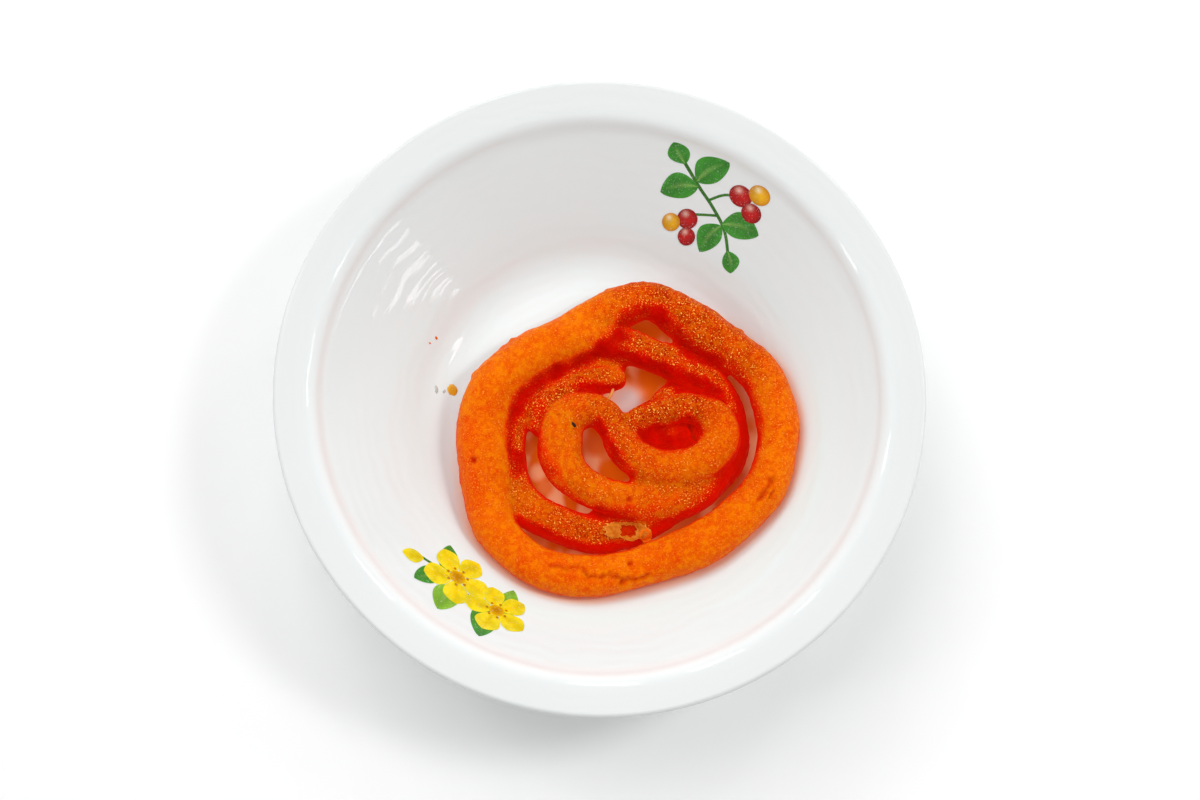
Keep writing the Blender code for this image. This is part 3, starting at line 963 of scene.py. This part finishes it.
def ware(look, profile, tree):
    """The bowl, with how much jalebi hangs over each place of its floor."""
    places, faces = turned(profile, BOWL_SIDES)
    inner = inner_side(profile)
    radius = np.hypot(places[:, 0], places[:, 1])
    on_inside = np.abs(places[:, 2] - np.interp(radius, inner[:, 0], inner[:, 1])) < 0.2
    near = np.flatnonzero(on_inside & (radius < STAIN_REACH_R + 4.0))
    ahead = np.interp(radius[near] + 0.5, inner[:, 0], inner[:, 1])
    slope = ahead - np.interp(radius[near] - 0.5, inner[:, 0], inner[:, 1])
    flat = places[near, :2] / np.maximum(radius[near], 1e-6)[:, None]
    normals = np.column_stack((-flat * slope[:, None], np.ones(len(near))))
    normals /= norm(normals, axis=1)[:, None]
    rays = 32
    touch, shut_in = np.zeros((2, len(places)))
    # How much sky the jalebi hides; this sets the painted shade, tint and glow beside it
    touch[near] = 1.0 - openness_of(tree, places[near], normals, 26.0, rays, 1.0)
    # Painted shade and glow go where low looks end on the jalebi
    shut_in[near] = eased(enclosed(tree, places[near], 24), 0.48, 0.74)
    # Light reaches the floor in the middle opening, so painted shade and glow are mostly left off
    # there
    *spot, reach = LIT_OPENING_SPOT
    lit_opening = LIT_OPENING_SHARE * eased(norm(places[:, :2] - spot, axis=1) / reach, 1.3, 0.6)
    # Painted shade: share of the rim, where the glaze is painted darker
    rim_shade_share = eased(radius, 79.5, 83.0)
    # Painted light: the band is painted paler on the side facing the light, towards -y
    facing_light = 0.5 - 0.5 * places[:, 1] / np.maximum(radius, 1e-6)
    band_light_share = BAND_LIFT * eased(radius, 75.5, 77.5) * eased(radius, 81.0, 79.5) * facing_light
    mesh = mesh_of("bowl_ware", places, faces)
    values = (touch * (1.0 - 0.3 * lit_opening), shut_in * (1.0 - lit_opening), rim_shade_share, band_light_share)
    # The "syrup" layer is painted light and shade, not syrup
    paint(mesh, "syrup", averaged(np.column_stack(values), edges_of(mesh), 3))
    # Painted shade between the turns: how brown, with paler spots where light falls
    tones = eased(noises(places * (1.0, 0.4, 1.0), 5.0, (6.0, 2.0, 5.0)), -0.25, 0.2)
    for *spot, reach, share in FLOOR_TONES:
        weight = eased(norm(places[:, :2] - spot, axis=1) / reach, 1.35, 0.55)
        tones += (share - tones) * weight
    paint(mesh, "tones", tones[:, None])
    piece("bowl_ware", mesh, look, "bowl")


def sheet(rows, columns):
    """Faces of a grid of vertices, row by row."""
    faces = []
    for i in range(rows - 1):
        for j in range(columns - 1):
            start = i * columns + j
            faces.append((start, start + 1, start + columns + 1, start + columns))
    return faces


def blade(base, tip, half, bend, widest, inks):
    """A leaf or petal in the plane of a print: u, v, colour and faces."""
    base, tip = np.array(base), np.array(tip)
    run = tip - base
    side = np.array((-run[1], run[0])) / norm(run)
    t, w = np.meshgrid(np.linspace(0, 1, 22), np.linspace(-1, 1, 9), indexing="ij")
    t, w = t.ravel(), w.ravel()
    rise = np.where(t < widest, t / widest, (1.0 - t) / (1.0 - widest))
    width = half * np.sin(rise * math.pi / 2) ** 0.75
    mid = base + run * t[:, None] + side * (bend * np.sin(math.pi * t))[:, None]
    uv = mid + side * (width * w)[:, None]
    dark, light = np.array(inks[0]), np.array(inks[1])
    vein = np.exp(-((w / 0.16) ** 2)) * (1.0 - t) * inks[2]
    ribs = 0.5 + 0.5 * np.cos(2 * math.pi * (5.0 * t - 1.6 * np.abs(w)))
    tone = np.clip(0.25 + 0.55 * np.abs(w) + 0.25 * ribs * inks[2], 0.0, 1.0)
    colour = dark + (light - dark) * tone[:, None]
    colour = colour + (np.array(inks[3]) - colour) * vein[:, None]
    return uv, colour, sheet(22, 9)


def disc(centre, radius, inner_ink, outer_ink, spark=None):
    """A round spot: a berry, or a blossom's middle."""
    rings, sides = 6, 24
    centre, inner_ink, outer_ink = np.array(centre), np.array(inner_ink), np.array(outer_ink)
    places, colours = [centre], [inner_ink]
    for share in np.arange(1, rings + 1) / rings:
        for spot in circle(sides, share):
            tone = inner_ink + (outer_ink - inner_ink) * share**2
            if spark is not None:
                shine = math.exp(-((norm(spot - (-0.35, 0.4)) / 0.28) ** 2))
                tone = tone + (np.array(spark) - tone) * shine
            places.append(centre + spot * radius)
            colours.append(tone)
    faces = [(0, 1 + i, 1 + (i + 1) % sides) for i in range(sides)]
    return np.array(places), np.array(colours), faces + bands(rings, sides, 1)


def stem(knots, half, ink):
    knots = np.array([(u, v, 0.0) for u, v in knots])
    path = spline(knots, 0.8)[:, :2]
    way = np.gradient(path, axis=0)
    way /= norm(way, axis=1)[:, None]
    side = np.stack((-way[:, 1], way[:, 0]), axis=1)
    places = []
    for spot, off in zip(path, side):
        places += [spot - off * half, spot, spot + off * half]
    return np.array(places), np.tile(np.array(ink), (len(places), 1)), sheet(len(path), 3)


# Inks: dark, light, how strong the ribs are, vein
GREEN = ((0.015, 0.17, 0.018), (0.07, 0.36, 0.035), 0.9, (0.3, 0.56, 0.12))
LIME = ((0.1, 0.36, 0.02), (0.3, 0.6, 0.05), 0.8, (0.55, 0.75, 0.2))
PETAL = ((0.93, 0.66, 0), (0.98, 0.84, 0.02), 0.45, (0.85, 0.42, 0))
STEM_INK = (0.05, 0.2, 0.02)
# Inks of berries: middle, edge, spark
RED_BERRY = ((0.6, 0.012, 0.01), (0.34, 0.005, 0.005), (0.95, 0.55, 0.45))
AMBER_BERRY = ((0.93, 0.5, 0.01), (0.72, 0.26, 0.004), (1, 0.85, 0.5))


def blossom(centre, radius, turn):
    """Five petals, each a little over the last, and a middle with its stamens."""
    centre = np.array(centre)
    made = []
    for i in range(5):
        way = polar(math.radians(turn + 72.0 * i), radius)
        petal = blade(centre + way * 0.12, centre + way, radius * 0.36, 0.0, 0.62, PETAL)
        made.append((0.09 + 0.012 * i, petal))
    made.append((0.17, disc(centre, radius * 0.23, (0.62, 0.26, 0.0), (0.9, 0.52, 0.0))))
    for i in range(7):
        spot = centre + polar(2 * math.pi * i / 7 + 0.3, radius * 0.3)
        made.append((0.18, disc(spot, radius * 0.045, (0.55, 0.2, 0.0), (0.7, 0.3, 0.0))))
    return made


def sprig(stems, leaves):
    """Stems (knots, half width) and leaves (lift, then what blade takes)."""
    made = [(0.05, stem(knots, half, STEM_INK)) for knots, half in stems]
    return made + [(lift, blade(*shape)) for lift, *shape in leaves]


def blossom_sprig():
    trunk = ((-17, 1.5), (-10, -1), (0, 0.5), (9, -0.5), (17.5, 3.5))
    leaves = (
        (0.06, (-4, 0), (-9.5, 12), 3.6, 0.9, 0.45, GREEN),
        (0.06, (4, 0.5), (2.5, 13), 3.7, -0.9, 0.45, LIME),
        (0.065, (-12, -1), (-8, -12.5), 3.3, 0.8, 0.45, LIME),
        (0.065, (10, 0), (17, -9), 3.4, -0.7, 0.45, GREEN),
        (0.07, (12, 1), (12.5, 11), 2.9, 0.6, 0.45, GREEN),
        (0.09, (16.5, 3), (20.5, 8.5), 2.3, 0.2, 0.5, PETAL),
    )
    made = sprig(((trunk, 0.45),), leaves)
    return made + blossom((-8.2, -1.0), 9.6, 20.0) + blossom((6.8, -2.2), 10.6, 52.0)


def berry_sprig():
    stems = (
        (((-13, 10.5), (-6, 4), (0, 0), (6.5, -4.5), (12, -10.5)), 0.5),
        (((-2, 1), (2, 5.5), (6, 7)), 0.4),
        (((2.5, -1.8), (-3, -4.5), (-6.5, -6)), 0.4),
    )
    leaves = (
        (0.06, (-6, 3.8), (-16, -2), 4.1, -1, 0.45, GREEN),
        (0.06, (-7, 5), (-1, 15), 4, 0.9, 0.45, GREEN),
        (0.065, (5, -3.4), (16, 1), 4.2, 1, 0.45, GREEN),
        (0.065, (5, -3.8), (3, -15), 4, -0.9, 0.45, GREEN),
        (0.07, (11, -9.5), (16.5, -14.5), 3, 0.5, 0.5, GREEN),
        (0.07, (-11.5, 9), (-16, 14.5), 3, 0.3, 0.5, GREEN),
    )
    berries = (
        ((5.6, 7.6), 3.3, RED_BERRY),
        ((10.6, 5), 3, RED_BERRY),
        ((9.8, 11.2), 3, AMBER_BERRY),
        ((-5.4, -7.2), 3.3, RED_BERRY),
        ((-10, -10.2), 3, AMBER_BERRY),
        ((-3.4, -12.6), 3, RED_BERRY),
    )
    made = sprig(stems, leaves)
    for i, (centre, radius, inks) in enumerate(berries):
        made.append((0.1 + 0.01 * i, disc(centre, radius, *inks)))
    return made


def prints(name, shapes, where, turn, look, profile):
    """One thin layer of colour on the bowl's wall."""
    places, colours, faces = [], [], []
    for lift, (uv, ink, quads) in shapes:
        uv = uv @ spin_of(math.radians(turn)).T
        start = sum(len(part) for part in places)
        places.append(on_wall(profile, *where, uv[:, 0], uv[:, 1], lift))
        colours.append(ink)
        faces += [tuple(start + i for i in quad) for quad in quads]
    mesh = mesh_of(name, np.vstack(places), faces)
    paint(mesh, "ink", np.vstack(colours))
    outward = [face for face in mesh.polygons if Vector((*face.center[:2], 0.0)).dot(face.normal) > 0]
    if len(outward) > len(mesh.polygons) / 2:
        mesh.flip_normals()
    piece(name, mesh, look, "bowl")


def under(tree, x, y):
    """The jalebi's skin under a place seen from above, or None."""
    return tree.ray_cast(Vector((x, y, 60.0)), Vector((0.0, 0.0, -1.0)))[0]


def film(name, centre, half, turn, hole, look, tree, seed):
    """A ragged thin plate of crust that follows the skin below it."""
    sides, rings = 120, 9
    ways = circle(sides)
    rough = np.array(
        [
            noise.noise(Vector((*way * 2.2, seed)))
            + 0.6 * noise.noise(Vector((*way * 7.0, seed + 4.0)))
            for way in ways
        ]
    )[:, None]
    outline = ways * half * (1.0 + 0.24 * rough) @ spin_of(math.radians(turn)).T + centre
    if hole:
        spot, reach = hole
        corner = np.abs(ways).max(axis=1, keepdims=True)
        inner = ways * reach * (1.0 + 0.35 * rough) / corner**0.6 + spot
    else:
        inner = centre + (outline - centre) * 0.02
    hanging = under(tree, *centre).z - 1.6
    places, edge = [], []
    for k in range(-1, rings + 1):
        share = min(max(k, 0), rings - 1) / (rings - 1)
        for x, y in inner + (outline - inner) * share:
            met = under(tree, x, y)
            level = hanging if met is None else max(hanging, met.z)
            rise = 0.2 + 0.16 * noise.noise(Vector((x * 0.9, y * 0.9, seed))) + 0.22 * share**3
            places.append((x, y, level + (rise if 0 <= k < rings else -0.6)))
            edge.append(1.0 if k >= rings - 1 or (k <= 0 and hole) else max(0.0, share - 0.75))
    mesh = mesh_of(name, places, bands(rings + 2, sides))
    paint(mesh, "edge", np.array(edge)[:, None])
    piece(name, mesh, look, "jalebi")


def blob(name, spec, look, node_name, ground, seed, sink=0.35):
    """A small lump or drop that sits on what is below it."""
    x, y, half_x, half_y, height, turn = spec
    rings, sides = 10, 20
    spin = Matrix.Rotation(math.radians(turn), 2)
    mesh = bmesh.new()
    layer = mesh.verts.layers.float_color.new("edge")
    verts = []
    for k in range(rings + 1):
        flat, rise = math.sin(math.pi * k / rings), math.cos(math.pi * k / rings)
        for spot in circle(sides, flat):
            way = Vector((*spot, rise))
            swell = 1.0 + 0.35 * noise.noise(way * 1.6 + Vector((seed, seed, 0.0)))
            across = spin @ (Vector((way.x * half_x, way.y * half_y)) * swell)
            px, py = x + across.x, y + across.y
            lift = rise * height * (swell if rise > 0 else sink)
            vert = mesh.verts.new(Vector((px, py, ground(px, py) + lift)) * MM)
            vert[layer] = (*(max(0.0, 1.0 - rise * 1.6),) * 3, 1.0)
            verts.append(vert)
    for face in bands(rings + 1, sides):
        mesh.faces.new([verts[i] for i in face])
    bmesh.ops.remove_doubles(mesh, verts=mesh.verts, dist=1e-7)
    bmesh.ops.recalc_face_normals(mesh, faces=mesh.faces)
    data = bpy.data.meshes.new(name)
    mesh.to_mesh(data)
    mesh.free()
    piece(name, data, look, node_name)


def scraps(profile, tree):
    """The torn blister, and the drops and crumbs that lie about."""
    tones = ((0.52, 0.115, 0.001), (0.86, 0.3, 0.035))
    ochre = scrap_material("ochre film", *tones, 1.3, 0.35, specular=0.1, mottle=0.55)
    flake = scrap_material("orange flake", (0.86, 0.13, 0.001), (0.93, 0.26, 0.01), 1.2, 0.4, 0.1)
    burnt = scrap_material("burnt crumb", (0.012, 0.006, 0.003), (0.035, 0.016, 0.006), 0.5, 0.5)
    syrup = scrap_material("syrup", (0.8, 0.36, 0.006), (0.86, 0.52, 0.08), 2.0, 0.08, 0.5)
    clear = scrap_material("clear drop", (0.93, 0.9, 0.82), (0.97, 0.96, 0.93), 1.0, 0.04, 0.6, 0.6)
    pale = scrap_material("syrup thread", (0.66, 0.2, 0.03), (0.78, 0.34, 0.1), 1.0, 0.2, 0.4)
    hole = (BLISTER_HOLE, BLISTER_HOLE_HALF)
    film("blister_film", BLISTER, BLISTER_HALF, BLISTER_TURN, hole, ochre, tree, 2.0)
    film("blister_flake", FLAKE, FLAKE_HALF, FLAKE_TURN, None, flake, tree, 8.0)

    def on_bowl(x, y):
        return float(bowl_height(math.hypot(x, y), profile))

    def in_bowl(name, spec, look, seed):
        blob(name, spec, look, "bowl", on_bowl, seed, 0.0)

    blob("burnt_speck", SPECK, burnt, "jalebi", lambda x, y: under(tree, x, y).z, 3.0)
    in_bowl("syrup_drop", SYRUP_DROP, syrup, 5.0)
    for i, spec in enumerate(CLEAR_DROPS):
        in_bowl(f"clear_drop_{i + 1}", spec, clear, 6.0 + i)
    for i, spec in enumerate(CRUMBS):
        in_bowl(f"crumb_{i + 1}", spec, flake, 9.0 + i)
    in_bowl("red_drop", RED_DROP, flake, 12.0)
    thread = spline([(*knot, STRAND_HALF) for knot in STRAND], 0.3)
    places, faces = tube(with_caps(thread), 12)
    mesh = mesh_of("strand", places, faces)
    paint(mesh, "edge", np.full((len(places), 3), 0.5))
    piece("strand", mesh, pale, "jalebi")


LAMP_REACH = 950.0
AIM_Z = 20.0
# Soft lamps: name, azimuth, elevation, side, watts
SOFT_LAMPS = (
    ("key", 8, 55, 200, 2.2),
    ("second", 136, 60, 700, 3.9),
    ("third", -75, 65, 400, 0.4),
)
# Small lamps whose images make the glaze's streaks: azimuth, elevation, size, roll
LAMP_GLARE = 5.5
SMALL_LAMPS = (
    (-7, 46, 110, 130, 0), (14, 40, 200, 110, 0), (53, 40, 90, 220, 0),
    (87, 40, 110, 160, 0), (102, 40, 90, 220, 0), (118, 40, 60, 160, 0),
    (148, 40, 90, 200, 0), (-165, 36, 90, 260, 0), (-14, 8.5, 560, 26, -17),
)
SKY_STRENGTH = 0.375
FLOOR_HALF = 1600.0
# Camera: place, tilt about x and y in degrees, lens and sensor in millimetres
CAMERA_PLACE = (-17.93, -112.92, 514.35)
CAMERA_TILT = (13.005, -2.063, 0.0)
LENS = 52.93
SENSOR = 36.0


def lamp(name, azimuth, elevation, wide, tall, watts, roll=0.0):
    """A rectangle of light that looks at the bowl's middle."""
    data = bpy.data.lights.new(name, "AREA")
    data.shape = "RECTANGLE"
    data.size = wide * MM
    data.size_y = tall * MM
    data.energy = watts
    rise = math.radians(elevation)
    away = Vector((*polar(math.radians(azimuth), math.cos(rise)), math.sin(rise)))
    made = added(name, data)
    made.location = (Vector((0.0, 0.0, AIM_Z)) + away * LAMP_REACH) * MM
    facing = (-away).to_track_quat("-Z", "Y").to_matrix()
    made.rotation_euler = (facing @ Matrix.Rotation(math.radians(roll), 3, "Z")).to_euler()
    return made


def studio():
    """Even sky light, three soft lamps, the small lamps' images, and a paper floor."""
    world = bpy.data.worlds.new("studio")
    bpy.context.scene.world = world
    world.use_nodes = True
    back = world.node_tree.nodes["Background"]
    back.inputs["Color"].default_value = (1.0, 1.0, 1.0, 1.0)
    back.inputs["Strength"].default_value = SKY_STRENGTH
    for name, azimuth, elevation, side, watts in SOFT_LAMPS:
        lamp(name, azimuth, elevation, side, side, watts).visible_glossy = False
    for i, (azimuth, elevation, wide, tall, roll) in enumerate(SMALL_LAMPS):
        watts = LAMP_GLARE * math.pi * wide * tall * MM * MM
        lamp(f"small_{i + 1}", azimuth, elevation, wide, tall, watts, roll)

    corners = [(x * FLOOR_HALF, y * FLOOR_HALF, 0.0) for x, y in ((-1, -1), (1, -1), (1, 1), (-1, 1))]
    mesh = mesh_of("floor", corners, [(0, 1, 2, 3)])
    n = Nodes("paper floor")
    paper = n.mix(n.noise(60.0, 3.0), (0.97, 0.97, 0.97), (0.99, 0.99, 0.99))
    mesh.materials.append(n.shaded(Base_Color=paper, Roughness=0.9))
    ground = added("floor", mesh)


def camera():
    data = bpy.data.cameras.new("camera")
    data.sensor_width = SENSOR
    data.lens = LENS
    data.clip_start = 0.01
    made = added("camera", data)
    made.location = Vector(CAMERA_PLACE) * MM
    made.rotation_mode = "ZYX"
    made.rotation_euler = [math.radians(angle) for angle in CAMERA_TILT]
    bpy.context.scene.camera = made


def main():
    bpy.context.scene.view_settings.view_transform = "Standard"
    profile = bowl_profile()
    tree = jalebi(crust_material(), profile)
    ware(ware_material(), profile, tree)
    inks = print_material()
    prints("blossom_print", blossom_sprig(), BLOSSOM_PRINT, -8.0, inks, profile)
    prints("berry_print", berry_sprig(), BERRY_PRINT, 0.0, inks, profile)
    scraps(profile, tree)
    studio()
    camera()


main()
